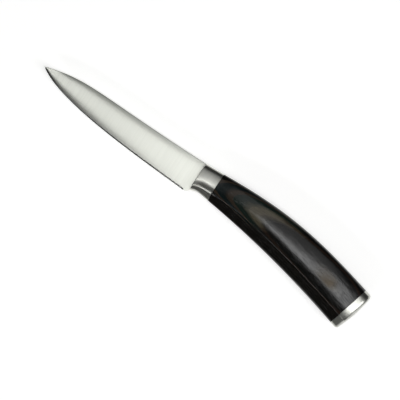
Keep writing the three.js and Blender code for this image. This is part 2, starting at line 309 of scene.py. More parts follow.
softbox("softbox_over_knife", (60, -60, 1300), aim=(60, -60, 0), size=(476, 250), radiance=4.4)
softbox("reflector_on_spine_side", (-105, 370, 1300), aim=(-105, 370, 0), size=(590, 580), radiance=0.6)
softbox("lamp_beyond_butt", (950, -60, 1250), aim=(0, 0, 0), size=(560, 1300), radiance=3.8)
softbox("lamp_beyond_point", (-1150, -60, 1000), aim=(0, 0, 0), size=(560, 1300), radiance=1.1)
softbox("low_lamp_on_edge_side", (-25, -1000, 780), aim=(0, 0, 0), size=(550, 180), radiance=5.5)

# %% Room
ROOM_STOPS = [(0.0, 0.12), (0.05, 0.08), (0.12, 0.03), (1.0, 0.03)]

room = bpy.data.worlds.new("room")
room.use_nodes = True
bpy.context.scene.world = room
room_tree = room.node_tree
room_direction = add_node(room_tree, "ShaderNodeTexCoord").outputs["Generated"]
room_shade = add_node(room_tree, "ShaderNodeValToRGB", {"Fac": split(room_tree, room_direction)["Z"]})
stops = room_shade.color_ramp.elements
for height, _ in ROOM_STOPS[1:-1]:
    stops.new(height)
for stop, (_, brightness) in zip(stops, ROOM_STOPS):
    stop.color = (brightness, brightness, brightness, 1)
fill(room_tree, room_tree.nodes["Background"], {"Color": room_shade.outputs["Color"]})

print("shades of the room, from the horizon up:", [round(stop.color[0], 3) for stop in stops])

# %% [markdown]
# ## Lofts
#
# A knife's pieces are long forms whose section changes steadily, as a smith or a grinder shapes them. A loft
# makes such a form: a row of loops with the same number of corners, joined by a skin, and closed at both
# ends. Lines that stay crisp on the real piece, such as the start of the edge bevel, are marked as sharp. A
# slot or a pocket is then cut out as another form, and a finished piece takes the place of its solid.

# %% Loft
BRUSHING = "across_the_brushing"


def loft(loops, creases=(), crown=None, second_finish=(), is_flat=False):
    """A closed form over a row of loops. Creases are corners whose long lines stay sharp; a crown domes the
    end. Some strips of skin, named by the corners they start at, can take the piece's second finish. The map
    for the brushing follows the rows of corners, or on a flat piece runs straight along X."""
    form = bmesh.new()
    lengthwise = form.loops.layers.uv.new(BRUSHING)
    rows = [[form.verts.new(in_frame(corner)) for corner in loop] for loop in loops]
    count = len(rows[0])
    for row, next_row in zip(rows, rows[1:]):
        for j in range(count):
            k = (j + 1) % count
            face = form.faces.new((row[j], row[k], next_row[k], next_row[j]))
            for corner, turn in zip(face.loops, (j, j + 1, j + 1, j)):
                place = corner.vert.co
                # The thickness is mixed in, so that the map isn't folded flat along the back of the blade.
                corner[lengthwise].uv = (place.x, place.y - place.z / 2 if is_flat else turn / count)
            face.smooth = True
            face.material_index = int(j in second_finish)
            if j in creases:
                form.edges.get((row[j], next_row[j])).smooth = False
    form.faces.new(rows[0][::-1])
    ends = [rows[0]]
    if crown is None:
        form.faces.new(rows[-1])
        ends.append(rows[-1])
    else:
        tip = form.verts.new(in_frame(crown))
        for j in range(count):
            form.faces.new((rows[-1][j], rows[-1][(j + 1) % count], tip)).smooth = True
    for row in ends:
        for j in range(count):
            form.edges.get((row[j], row[(j + 1) % count])).smooth = False
    return form


print("loft ready, with a map for the brushing:", BRUSHING)

# %% Cutting and fitting


def combine(piece, other, operation):
    """Joins another form to a piece, or cuts it out of the piece."""
    modifier = piece.modifiers.new(operation, "BOOLEAN")
    modifier.operation = operation
    modifier.solver = "EXACT"
    modifier.object = other
    finished = piece.evaluated_get(bpy.context.evaluated_depsgraph_get())
    rough_mesh, piece.data = piece.data, bpy.data.meshes.new_from_object(finished)
    piece.modifiers.clear()
    piece.data.name = piece.name
    bpy.data.meshes.remove(rough_mesh)
    bpy.data.objects.remove(other)


def fit_to_knife(piece, node):
    """Lets a piece stand for the frame's solid of the same part."""
    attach(piece, "root")
    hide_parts(node)
    print(piece.name, "faces:", len(piece.data.polygons))


print("helpers for cutting and fitting ready")

# %% [markdown]
# ## The form of the hilt
#
# Bolster, grip and cap are ground together on the real knife, so one form runs through all three. Seen from
# the side it is a gentle bow, with a toe under the bolster that reaches down to the heel of the blade. A few
# heights, blended into smooth curves, give its two edges. From above, the bolster is parallel, and the grip
# flares out behind it into a long swell. Writing all this as formulas lets every piece be cut from the same
# form.

# %% Side view of the hilt
BOLSTER_LENGTH = 13
GRIP_LENGTH = 105.6
HILT_LENGTH = BOLSTER_LENGTH + GRIP_LENGTH
SPINE_SIDE_HEIGHTS = (0, 1.4, 4.9, -2.2, -9.6)
BELLY_SIDE_HEIGHTS = (-17, -22.35, -39.15)
TOE_DROP = 1.9
TOE_LENGTH = 6.5


def lerp(first, second, share):
    """A value that lies a share of the way from one value to another."""
    return first + (second - first) * share


def bezier_height(share, heights):
    """Height on a smooth curve that runs from the first height to the last and leans towards the others."""
    row = list(heights)
    while len(row) > 1:
        row = [lerp(low, high, share) for low, high in zip(row, row[1:])]
    return row[0]


def spine_side(x):
    return bezier_height(x / HILT_LENGTH, SPINE_SIDE_HEIGHTS)


def belly_side(x):
    return bezier_height(x / HILT_LENGTH, BELLY_SIDE_HEIGHTS)


def middle_height(x):
    return (spine_side(x) + belly_side(x)) / 2


def toed_belly(x):
    """Height of the belly with the toe of the bolster."""
    return belly_side(x) - TOE_DROP * np.maximum(0, 1 - x / TOE_LENGTH) ** 2


front_height = float(spine_side(0) - toed_belly(0))
print("hilt", HILT_LENGTH, "mm long,", round(front_height, 2), "mm high at its front")

# %% Thickness of the hilt
BOLSTER_THICKNESS = 12.5
FLARE_START = 9
FLARE_RUN = 8
GRIP_THICKNESS = 19
SWELL_RUN = 80
SWELL_POWER = 3
BUTT_TAPER = 0.8
BUTT_TAPER_RUN = 22


def crest_half(x):
    """Half thickness at the crest: parallel on the bolster, then a flare, a long swell and a taper."""
    swell_start = FLARE_START + FLARE_RUN
    flare_share = SWELL_POWER * FLARE_RUN / SWELL_RUN
    swell = (GRIP_THICKNESS - BOLSTER_THICKNESS) / (1 + flare_share / 2)
    unswollen = np.clip(1 - (x - swell_start) / SWELL_RUN, 0, 1)
    unflared = np.clip((swell_start - x) / FLARE_RUN, 0, 1)
    past_taper = np.maximum(0, 1 - (HILT_LENGTH - x) / BUTT_TAPER_RUN)
    swell_loss = swell * (unswollen ** SWELL_POWER + flare_share * unflared * (1 - unflared / 2))
    return (GRIP_THICKNESS - swell_loss - BUTT_TAPER * past_taper ** 2) / 2


print("thickness at the front and the butt:", [round(float(2 * crest_half(x)), 2) for x in (0, HILT_LENGTH)])

# %% [markdown]
# ## The section of the hilt
#
# In section, each side of the hilt is a squarish oval. From its crest it domes up to a tight shoulder under
# the spine, and falls back the other way to a ridge, under which a flat facet runs into a rounded belly.
# Towards the butt the side flattens out and the shoulder gets rounder. Each stretch of the section is a
# short formula, with enough corners along it to look smooth.

# %% Lines of the section
CREST_SHARE = 0.64
RIDGE_RISES = (2.8, 4.3, 7.1, 7.1)
RIDGE_RUN = 40
RIDGE_SINKS = (1.2, 0.8)
SINKING_START = 20
FACET_TILT = math.radians(37)
BELLY_FLATNESS = 4


def ridge_sink(x):
    """How much the side falls back from crest to ridge at x."""
    return lerp(*RIDGE_SINKS, np.clip((x - SINKING_START) / (HILT_LENGTH - SINKING_START), 0, 1))


def section_lines(x):
    """Heights of spine, crest, ridge, keel and belly at x, and half thickness at crest, ridge and keel."""
    top, belly = spine_side(x), toed_belly(x)
    ridge = belly + bezier_height(np.minimum(1, x / RIDGE_RUN), RIDGE_RISES)
    crest = lerp(top, ridge, CREST_SHARE)
    half = crest_half(x)
    ridge_half = half - ridge_sink(x)
    keel_half = (ridge_half - (ridge - belly) * math.tan(FACET_TILT)) / (1 - 1 / BELLY_FLATNESS)
    keel = belly + keel_half / math.tan(FACET_TILT) / BELLY_FLATNESS
    return top, crest, ridge, keel, belly, half, ridge_half, keel_half


front_top, _, front_ridge, *_ = section_lines(0)
print("ridge at the front", round(float(front_top - front_ridge), 2), "mm below the spine")

# %% Side of the section
SIDE_DOME = 0.15
BUTT_DOME = 0.03
FLATTENING_START = 58
SHOULDER_SQUARENESSES = (6, 4.2)
ROUNDER_START = 108
ROUNDER_END = 124


def smooth_way(x, start, end):
    """Share of the way from a start to an end, setting off and arriving gently."""
    run = np.clip((x - start) / (end - start), 0, 1)
    return run ** 2 * (3 - 2 * run)


def dome_at(x):
    """How much the side falls back from crest to spine at x; it flattens out towards the butt."""
    return lerp(SIDE_DOME, BUTT_DOME, smooth_way(x, FLATTENING_START, HILT_LENGTH))


def squareness_at(x):
    """How square the shoulder under the spine is at x; it gets rounder towards the butt."""
    return lerp(*SHOULDER_SQUARENESSES, smooth_way(x, ROUNDER_START, ROUNDER_END))


def side_fall(x, reach):
    """Share of the crest's thickness left on the way from crest, 0, to spine, 1: a dome, then a round."""
    rounding = np.maximum(0, 1 - reach ** squareness_at(x)) ** (1 / squareness_at(x))
    return (1 - dome_at(x) * reach ** 2) * rounding


print("thickness left half way up:", [round(float(side_fall(x, 0.5)), 3) for x in (0, HILT_LENGTH)])

# %% Corners of the section
RIDGE_ROUNDINGS = (0.5, 0.2)
SHOULDER_TURN = math.radians(15)
STEPS = {"shoulder": 18, "dome": 12, "undercut": 8, "ridge": 6, "facet": 4, "belly": 12}

step_counts = list(STEPS.values())
corner_region = np.concatenate([[0], np.repeat(np.arange(len(STEPS)), step_counts)])
corner_share = np.concatenate([[0], *[np.arange(1, count + 1) / count for count in step_counts]])


def section_half(x):
    """Height and half thickness at each corner from spine to belly; x holds one place along the knife for
    each corner."""
    top, crest, ridge, keel, belly, half, ridge_half, keel_half = section_lines(x)
    share = corner_share
    shoulder_reach = np.sin(lerp(np.pi / 2, SHOULDER_TURN, share)) ** (2 / squareness_at(x))
    dome_reach = math.sin(SHOULDER_TURN) ** (2 / squareness_at(x)) * (1 - share)
    shoulder, dome = [
        (lerp(crest, top, reach), half * side_fall(x, reach)) for reach in (shoulder_reach, dome_reach)
    ]

    rounding = lerp(*RIDGE_ROUNDINGS, np.minimum(1, x / RIDGE_RUN))
    last_share = 1 - rounding / (crest - ridge)
    sink = half - ridge_half
    undercut = lerp(crest, ridge, share * last_share), half - sink * (share * last_share) ** 2

    facet_length = np.hypot(ridge - keel, ridge_half - keel_half)
    eased = rounding / facet_length
    above = lerp(crest, ridge, last_share), half - sink * last_share ** 2
    below = lerp(ridge, keel, eased), lerp(ridge_half, keel_half, eased)
    corner = ridge, ridge_half
    ridge_arc = [
        lerp(lerp(start, middle, share), lerp(middle, end, share), share)
        for start, middle, end in zip(above, corner, below)
    ]
    facet = lerp(below[0], keel, share), lerp(below[1], keel_half, share)
    belly_round = lerp(belly, keel, (1 - share) ** BELLY_FLATNESS), keel_half * (1 - share)

    parts = (shoulder, dome, undercut, ridge_arc, facet, belly_round)
    places = [corner_region == region for region in range(len(STEPS))]
    return [np.select(places, [part[axis] for part in parts]) for axis in (0, 1)]


print("corners from spine to belly:", len(corner_share))

# %% Loops of the hilt
SETTLING_PASSES = 8


def mirrored_loop(half):
    """The whole loop of a section, from its left half given from spine to belly."""
    other_half = half[half[:, 2] > 0][::-1] * (1, 1, -1)
    return np.concatenate([half, other_half])


def hilt_loop(x, slant=0.0, middle=None):
    """The form's loop on a plane that leans back by an angle, through a point in the middle of the form. The
    place along the knife and the height there depend on each other, so both settle in a few passes."""
    middle = middle_height(x) if middle is None else middle
    lean = math.tan(slant)
    height = np.full(len(corner_share), middle)
    for _ in range(SETTLING_PASSES):
        height, half = section_half(x + lean * (height - middle))
    return mirrored_loop(np.column_stack([x + lean * (height - middle), height, half]))


def drawn_in(loop, distance):
    """A loop whose corners have moved towards its middle by a distance."""
    inward = loop.mean(axis=0) - loop
    return loop + inward / np.linalg.norm(inward, axis=1, keepdims=True) * distance


print("corners of a whole loop:", len(hilt_loop(0)))

# %% [markdown]
# ## The wedge of the blade
#
# The blade and the stub behind it are one bar of steel, ground to a wedge that thins from spine to edge and
# from heel to point. A sloping plane says how thick the wedge is at each place, for the stub as well.

# %% Wedge of the blade
BLADE_LENGTH = 121
SPINE_THICKNESS = 1.9
POINT_THICKNESS = 1.2
BEHIND_EDGE_THICKNESS = 0.7
LENGTHWISE_TAPER = (SPINE_THICKNESS - POINT_THICKNESS) / 2 / BLADE_LENGTH
GRIND_TAPER = (SPINE_THICKNESS - BEHIND_EDGE_THICKNESS) / 2 / HEEL_HEIGHT


def ground_half(x, y):
    """Half thickness of the wedge that the blade is ground to, without its crown."""
    return SPINE_THICKNESS / 2 + LENGTHWISE_TAPER * x + GRIND_TAPER * y


print("blade", SPINE_THICKNESS, "mm thick at the spine,", BEHIND_EDGE_THICKNESS, "mm behind the edge")

# %% [markdown]
# ## The tang
#
# A stub behind the blade passes through the bolster, and a bar welded to it runs through the grip into the
# cap. None of this shows, so the bar stays as it is in the frame. The form of both is still needed here:
# with a clearance added it is the room that bolster and cap leave for the tang.

# %% Form of the tang
TANG_BAR_THICKNESS = 2
TANG_FRONT_HEIGHT = 10
TANG_REAR_HEIGHT = 8
TANG_SHOULDER = 0.25
TANG_CLEARANCE = 0.15
STUB_LENGTH_IN_GRIP = 8
STUB_END = BOLSTER_LENGTH + STUB_LENGTH_IN_GRIP
CAP_SLANT = math.radians(14.2)
CAP_THICKNESS = 5.4
TAIL_COVER = 2
TAIL_END = HILT_LENGTH + (CAP_THICKNESS - TAIL_COVER) / math.cos(CAP_SLANT)
OVERCUT = 1
TANG_STEPS = 24


def stub_half(y):
    return ground_half(0, y) - TANG_SHOULDER


def bar_half(y):
    return np.full_like(y, TANG_BAR_THICKNESS / 2)


def tang_reach(x):
    """Half the height of the tang at x."""
    return lerp(TANG_FRONT_HEIGHT, TANG_REAR_HEIGHT, x / TAIL_END) / 2


def grip_lean(x):
    """How far the cross plane at x leans, from upright at the stub's end to the slant of the cap."""
    return CAP_SLANT * np.clip((x - STUB_END) / (HILT_LENGTH - STUB_END), 0, 1)


def tang_form(start, end, half_at, clearance=0.0):
    """A stretch of the tang, or with a clearance the room for it; half_at gives its half thickness."""
    loops = []
    for x in np.linspace(start, end, TANG_STEPS):
        offset = np.array([1, -1]) * tang_reach(x)
        outer = offset + np.sign(offset) * clearance
        middle = middle_height(x)
        half = half_at(middle + offset) + clearance
        leaning = x + math.tan(grip_lean(x)) * outer
        loops.append(mirrored_loop(np.column_stack([leaning, middle + outer, half])))
    return loft(loops, creases=range(len(loops[0])))


print("tang ends", round(TAIL_END - HILT_LENGTH, 2), "mm inside the cap")

# %% [markdown]
# ## Steel finishes
#
# The blade is satin finished on a belt that runs across it, so its marks go from spine to edge, and the belt
# bites harder towards the point: the broad marks are deeper and brighter there. The bolster and the cap are
# brushed round the hilt in the same way. All of it is plain stainless steel: the brushing is made as long
# thin marks that change the roughness, tint the metal and stand up by a few hundredths of a millimetre. The
# finest scratches are too many to draw. What they do together is smear each highlight across themselves, and
# the shader's anisotropy does that. The bar of the tang keeps the dull skin of rolled steel, and nothing but
# its finish is changed.

# %% Steel finishes
BROAD_TO_FINE_DEPTH = 70
LIGHT_BITE = 0.3
HEAVY_BITE_SHARE = 0.35
BARED_BRIGHTNESS = 1.22
ROUGHNESS_SPREAD = 0.03


def brushed_steel(name, colour, roughness, fine_marks, broad_marks, depth, stretch=0.0):
    """Plain steel with two sizes of marks, the broad ones heavier towards the blade's point. The stretch
    draws highlights out along the knife, across the marks."""
    finish, tree, shader = new_finish(name)
    fine = drawn_out_noise(tree, fine_marks, detail=3)
    broad = drawn_out_noise(tree, broad_marks, detail=2)
    x = split(tree, knife_place(tree))["X"]
    heavy_end = -BLADE_LENGTH * (1 - HEAVY_BITE_SHARE)
    bite = rescale(tree, x, -BLADE_LENGTH, heavy_end, 1, LIGHT_BITE)
    bared = calculate(tree, "MULTIPLY", spread(tree, broad, 0, 1), bite)
    broad_depth = calculate(tree, "MULTIPLY", bite, BROAD_TO_FINE_DEPTH)
    marks = calculate(tree, "MULTIPLY_ADD", broad, broad_depth, fine)
    along = add_node(tree, "ShaderNodeTangent", direction_type="UV_MAP", uv_map=BRUSHING)
    fill(tree, shader, {
        "Base Color": blend_colours(tree, bared, colour, [BARED_BRIGHTNESS * part for part in colour]),
        "Metallic": 1.0,
        "Roughness": spread(tree, fine, roughness - ROUGHNESS_SPREAD, roughness + ROUGHNESS_SPREAD),
        "Anisotropic": stretch,
        "Tangent": along.outputs[0],
        "Normal": raised_marks(tree, marks, depth),
    })
    return finish


blade_steel = brushed_steel(
    "satin_blade_steel", colour=(0.49, 0.5, 0.46), roughness=0.34,
    fine_marks=(0.1, 7, 7), broad_marks=(0.7, 25, 25), depth=0.001, stretch=0.9,
)
hilt_steel = brushed_steel(
    "brushed_hilt_steel", colour=(0.52, 0.525, 0.485), roughness=0.34,
    fine_marks=(0.1, 5, 5), broad_marks=(0.6, 12, 12), depth=0.001, stretch=0.7,
)
edge_steel = brushed_steel(
    "ground_edge_steel", colour=(0.6, 0.6, 0.59), roughness=0.2,
    fine_marks=(0.1, 3, 3), broad_marks=(0.6, 6, 6), depth=0.0005,
)
tang_steel = brushed_steel(
    "rolled_tang_steel", colour=(0.24, 0.24, 0.25), roughness=0.55,
    fine_marks=(6, 0.4, 0.4), broad_marks=(20, 2, 2), depth=0.01,
)

tang_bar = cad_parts["tang_bar"]
tang_bar.data.materials.clear()
tang_bar.data.materials.append(tang_steel)

print("steels:", [steel.name for steel in (blade_steel, hilt_steel, edge_steel, tang_steel)])

# %% [markdown]
# ## Blade
#
# The blade is forged or cut from one bar and ground to its wedge, and the sides come off the belt very
# slightly crowned between spine and edge bevel, a little more so towards the point. The outline is three
# curves: spine, edge and the rounded corner of the heel. The bevel is a second, steeper plane. The sharp
# corners of the spine are eased so that they don't cut the finger. A box could be pushed into this shape by
# hand, but a loft over formulas keeps the line of the bevel clean along the whole edge.

# %% Outline of the blade
POINT_DROP = 4.75
HEEL_SETBACK = 4.2
SPINE_HANDLES = ((0.745, 4.2), (0.7, -0.75))
EDGE_HANDLES = ((0.84, 0.865), (0.35, 0.912))
HEEL_HANDLE_SHARE = 0.33
CURVE_SAMPLES = 2000


def bezier_points(handles, shares):
    """Places along a smooth curve that a row of handles gives."""
    x_handles, y_handles = zip(*handles)
    return bezier_height(shares, x_handles), bezier_height(shares, y_handles)


blade_point = (-BLADE_LENGTH, -POINT_DROP)
heel = (-HEEL_SETBACK, -HEEL_HEIGHT)
spine_handles = [(-share * BLADE_LENGTH, rise) for share, rise in SPINE_HANDLES]
edge_handles = [(-share * BLADE_LENGTH, -depth * HEEL_HEIGHT) for share, depth in EDGE_HANDLES]
heel_handle = (-HEEL_SETBACK * HEEL_HANDLE_SHARE, -HEEL_HEIGHT)
spine_curve = [blade_point, *spine_handles, (0, spine_side(0))]
spine_line = bezier_points(spine_curve, np.linspace(0, 1, CURVE_SAMPLES))
edge_curve = [blade_point, *edge_handles, heel]
heel_curve = [heel, heel_handle, (0, toed_belly(0))]

print("blade", BLADE_LENGTH, "mm long,", HEEL_HEIGHT, "mm high at the heel")

# %% Crown of the blade's sides
HEEL_CROWN = 0.0095
POINT_CROWN = 0.03
CROWN_PLACE_SHARE = 0.45
CROWN_FLATNESS = 3
CROWN_SETTING = 0.4
EDGE_FALLS = (0.3, 1.4)
CROWN_FADE_SHARES = (0.85, 0.97)


def crown_height(x, share, run):
    """How far a side stands out from the wedge, or lies inside it, on the run from the spine's round, 0, to
    the bevel, 1. Towards the point it falls more steeply to the bevel, and stops falling to the spine."""
    along = -x / BLADE_LENGTH
    is_above = share < CROWN_PLACE_SHARE
    fall_run = np.where(is_above, CROWN_PLACE_SHARE, 1 - CROWN_PLACE_SHARE)
    spine_fall = 1 - smooth_way(along, *CROWN_FADE_SHARES)
    full_fall = np.where(is_above, spine_fall, lerp(*EDGE_FALLS, along))
    fall = full_fall * abs((share - CROWN_PLACE_SHARE) / fall_run) ** CROWN_FLATNESS
    return lerp(HEEL_CROWN, POINT_CROWN, along) * run * (1 - CROWN_SETTING - fall)


print("crown at the heel, mm:", round(float(crown_height(0, CROWN_PLACE_SHARE, HEEL_HEIGHT)), 3))

# %% Loops of the blade
EDGE_THICKNESS = 0.08
EDGE_ANGLE = math.radians(18)
EASED_SPINE = 0.25
EASED_HEEL = 0.1
POINT_FLAT_SHARE = 0.004
BLADE_STEPS, HEEL_STEPS, SPINE_ROUND_STEPS, SIDE_STEPS = 150, 14, 6, 20


def blade_loop(x, edge, is_sharp):
    """The blade's loop at x, down to a sharp edge with its bevel or to the blunt corner of the heel. The
    bevel and the spine's round get smaller at the point, where there is no room for them."""
    spine = np.interp(x, *spine_line)
    height = spine - edge
    full_bevel = (ground_half(x, edge) - EDGE_THICKNESS / 2) / (math.tan(EDGE_ANGLE) - GRIND_TAPER)
    bevel_height = min(full_bevel, height / 2)
    shoulder = edge + (bevel_height if is_sharp else EASED_HEEL)
    edge_half = EDGE_THICKNESS / 2 if is_sharp else ground_half(x, edge) - EASED_HEEL

    ease = min(EASED_SPINE, height / 4)
    round_end = spine - ease
    crown_run = round_end - edge - bevel_height
    spine_half = ground_half(x, round_end) + crown_height(x, 0, crown_run)
    turns = np.linspace(0, np.pi / 2, SPINE_ROUND_STEPS + 1)

    side = lerp(round_end, shoulder, np.linspace(0, 1, SIDE_STEPS + 1)[1:])
    run_share = np.minimum(1, (round_end - side) / crown_run)
    side_half = ground_half(x, side) + crown_height(x, run_share, crown_run)

    heights = [*(round_end + ease * np.cos(turns)), *side, edge]
    halves = [*(spine_half - ease * (1 - np.sin(turns))), *side_half, edge_half]
    return mirrored_loop(np.column_stack([np.full(len(heights), x), heights, halves]))


edge_points = zip(*bezier_points(edge_curve, np.linspace(POINT_FLAT_SHARE, 1, BLADE_STEPS)))
sharp_loops = [blade_loop(x, y, is_sharp=True) for x, y in edge_points]
heel_points = zip(*bezier_points(heel_curve, np.linspace(0, 1, HEEL_STEPS + 1)[1:]))
blunt_loops = [blade_loop(x, y, is_sharp=False) for x, y in heel_points]

print("loops of the blade:", len(sharp_loops) + len(blunt_loops))

# %% Blade
half_count = SPINE_ROUND_STEPS + SIDE_STEPS + 2
left_creases = (SPINE_ROUND_STEPS, half_count - 2, half_count - 1)
blade_creases = [*left_creases, *[2 * half_count - 1 - corner for corner in left_creases]]
bevel_strips = range(half_count - 2, half_count + 1)
blade_form = loft([*sharp_loops, *blunt_loops], blade_creases, second_finish=bevel_strips, is_flat=True)
blade = as_object("blade_ground", blade_form, blade_steel, edge_steel)
stub = as_object("stub", tang_form(-OVERCUT, STUB_END, stub_half))
combine(blade, stub, "UNION")
fit_to_knife(blade, "blade")

# %% [markdown]
# ## Bolster
#
# The bolster is a steel collar, slotted for the stub of the tang and ground together with the grip. It is
# the front part of the hilt's form, with a small round along its front edge and the toe that sweeps down to
# the heel. The slot is cut as the form of the stub with its clearance, as a maker would file it to fit.

# %% Bolster
BOLSTER_EDGE_RADIUS = 0.5
ROUNDING_STEPS = 8
BOLSTER_STEPS = 26

bolster_loops = []
for turn in np.linspace(np.pi / 2, 0, ROUNDING_STEPS, endpoint=False):
    x = BOLSTER_EDGE_RADIUS * (1 - math.sin(turn))
    bolster_loops.append(drawn_in(hilt_loop(x), BOLSTER_EDGE_RADIUS * (1 - math.cos(turn))))
for x in np.linspace(BOLSTER_EDGE_RADIUS, BOLSTER_LENGTH, BOLSTER_STEPS):
    bolster_loops.append(hilt_loop(x))
bolster = as_object("bolster_collar", loft(bolster_loops), hilt_steel)
slot = as_object("slot", tang_form(-OVERCUT, BOLSTER_LENGTH + OVERCUT, stub_half, TANG_CLEARANCE))
combine(bolster, slot, "DIFFERENCE")
fit_to_knife(bolster, "bolster")

# %% [markdown]
# ## End cap
#
# The cap closes the butt at a slant. Its rim is well rounded and its end is slightly domed. The loops of the
# form are carried on past the grip, drawn in round the rim, and closed over the crown. A pocket inside holds
# the tail of the tang.

# %% End cap
GLUE_LINE = 0.1
CAP_CROWN = 0.9
CAP_EDGE_RADIUS = 2.2
CAP_SIDE_STEPS = 4
CAP_RIM_STEPS = 10
CROWN_STEPS = 6


def cap_loop(depth):
    """The form's loop at a depth behind the end of the grip."""
    return hilt_loop(HILT_LENGTH + depth / math.cos(CAP_SLANT), CAP_SLANT, middle_height(HILT_LENGTH))


outward = np.array([math.cos(CAP_SLANT), -math.sin(CAP_SLANT), 0])
rim_start = CAP_THICKNESS - CAP_EDGE_RADIUS
cap_loops = [cap_loop(depth) for depth in np.linspace(GLUE_LINE, rim_start, CAP_SIDE_STEPS, endpoint=False)]
for turn in np.linspace(0, np.pi / 2, CAP_RIM_STEPS):
    depth = CAP_THICKNESS - CAP_EDGE_RADIUS * (1 - math.sin(turn))
    cap_loops.append(drawn_in(cap_loop(depth), CAP_EDGE_RADIUS * (1 - math.cos(turn))))
rim = cap_loops[-1]
rim_middle = rim.mean(axis=0)
for share in np.linspace(1, 0, CROWN_STEPS, endpoint=False)[1:]:
    cap_loops.append(lerp(rim_middle, rim, share) + outward * CAP_CROWN * (1 - share ** 2))
cap = as_object("cap_of_butt", loft(cap_loops, crown=rim_middle + outward * CAP_CROWN), hilt_steel)
room_for_bar = tang_form(BOLSTER_LENGTH - OVERCUT, TAIL_END + TANG_CLEARANCE, bar_half, TANG_CLEARANCE)
combine(cap, as_object("room_for_bar", room_for_bar), "DIFFERENCE")
fit_to_knife(cap, "end_cap")

# %% [markdown]
# ## The stack of veneers
#
# The block for the grip is a stack of flat veneers, thin brown ones between thick black ones, laid outwards
# from a core that is as thick as the room for the tang. The heights of the stack come before the finishes,
# because dye bleeds from one veneer into the next, and sanding thins the outer one.

# %% Stack of the veneers
CORE_HALF = TANG_BAR_THICKNESS / 2 + TANG_CLEARANCE
BROWN_VENEER = 0.36
BLACK_VENEER = 0.84
PLY_PAIRS = 7
OUTER_PLY_START = CORE_HALF + PLY_PAIRS * (BROWN_VENEER + BLACK_VENEER) - BLACK_VENEER
TAN_START = OUTER_PLY_START - BROWN_VENEER
BROWN_START = TAN_START - BLACK_VENEER - BROWN_VENEER

print("veneers on each side:", 2 * PLY_PAIRS, "with the outer one from", round(OUTER_PLY_START, 2), "mm up")

# %% [markdown]
# ## Wood finishes
#
# The grip is dyed veneer pressed with resin, sanded and polished to a satin gloss. The dye leaves the grain
# as fine lengthwise streaks, the pores as short dark dashes. The grain is straight, as the veneers are, but
# the marks of the polish follow the bow of the grip and break its highlight into silvery streaks and
# speckles. One function makes all the tones: browns for the thin plies, blacks with a touch of blue or green
# for the thick ones. More tones can lie over the first: dye that has bled in from the next veneer, a darker
# tone that comes in towards the butt and sooner towards the belly, or a veneer that sanding has nearly
# taken away, which leaves a soft duller patch.

# %% Places in the wood
CLOUD_SIZE = (9, 2.5, 2.5)

bow_places = np.array([0, HILT_LENGTH / 2, HILT_LENGTH])
bow_heights = middle_height(bow_places)
bow = np.polyfit(bow_places, bow_heights, 2)


def along_bow(tree):
    """The place on the knife with its height measured from the bowed middle line of the hilt."""
    x, y, z = split(tree, knife_place(tree))
    slope = calculate(tree, "MULTIPLY_ADD", x, bow[0], bow[1])
    middle = calculate(tree, "MULTIPLY_ADD", slope, x, bow[2])
    above = calculate(tree, "SUBTRACT", y, middle)
    return add_node(tree, "ShaderNodeCombineXYZ", {"X": x, "Y": above, "Z": z}).outputs[0]


def wavering(tree, value, waver):
    """A value moved up and down by soft clouds."""
    clouds = spread(tree, drawn_out_noise(tree, CLOUD_SIZE), -waver, waver)
    return calculate(tree, "ADD", value, clouds)


def stack_height(tree, waver):
    """Height in the stack of veneers, from the middle of the knife, wavering by a little."""
    z = split(tree, knife_place(tree))["Z"]
    return wavering(tree, calculate(tree, "ABSOLUTE", z), waver)


print("heights along the bow, mm:", [round(float(height), 2) for height in bow_heights])

# %% Bled dye, and darker tones behind
FADE_START, FADE_END = 44, 60
FADE_LEAN = 1.35
FADE_WAVER = 6
BLEED_WAVER = 0.08
BLED_SHARE = 0.7


def darker_behind(tree):
    """Share of the second tone on a veneer that darkens towards the butt, and sooner towards the belly."""
    x, above, _ = split(tree, along_bow(tree))
    behind = calculate(tree, "MULTIPLY_ADD", above, -FADE_LEAN, x)
    return rescale(tree, wavering(tree, behind, FADE_WAVER), FADE_START, FADE_END)


def bled_into(start, end):
    """Share of a neighbour's tone on a veneer into which its dye has bled, between two heights."""

    def share(tree):
        return rescale(tree, stack_height(tree, BLEED_WAVER), start, end, 0, BLED_SHARE)

    return share


print("tones darken from", FADE_START, "to", FADE_END, "mm behind the front of the bolster")

# %% Uneven sanding
THIN_VENEER = 0.28
THIN_WAVER = 0.03
THIN_SHARE = 0.9
SANDED_BELOW = 9.34
PATCH_PLACE, PATCH_REACH = 103, 16
PATCH_SOFTNESS = 1.7
PATCH_WAVER = 0.02


def sanded_through(tree):
    """Share of the veneer below that shows where sanding has left the outer one too thin, at its front."""
    height = stack_height(tree, THIN_WAVER)
    thin = rescale(tree, height, OUTER_PLY_START, OUTER_PLY_START + THIN_VENEER, THIN_SHARE, 0)
    return calculate(tree, "MULTIPLY", thin, calculate(tree, "SUBTRACT", 1, darker_behind(tree)))


def left_on_top(tree):
    """Share of the next veneer out, of which sanding has just left a soft patch on the swell."""
    x = split(tree, knife_place(tree))["X"]
    away = calculate(tree, "ABSOLUTE", calculate(tree, "SUBTRACT", x, PATCH_PLACE))
    on_top = rescale(tree, stack_height(tree, PATCH_WAVER), SANDED_BELOW, GRIP_THICKNESS / 2)
    left = calculate(tree, "MULTIPLY", on_top, rescale(tree, away, 0, PATCH_REACH, 1, 0))
    return calculate(tree, "POWER", left, PATCH_SOFTNESS)


print("outer veneer left at its thickest, mm:", round(GRIP_THICKNESS / 2 - OUTER_PLY_START, 2))

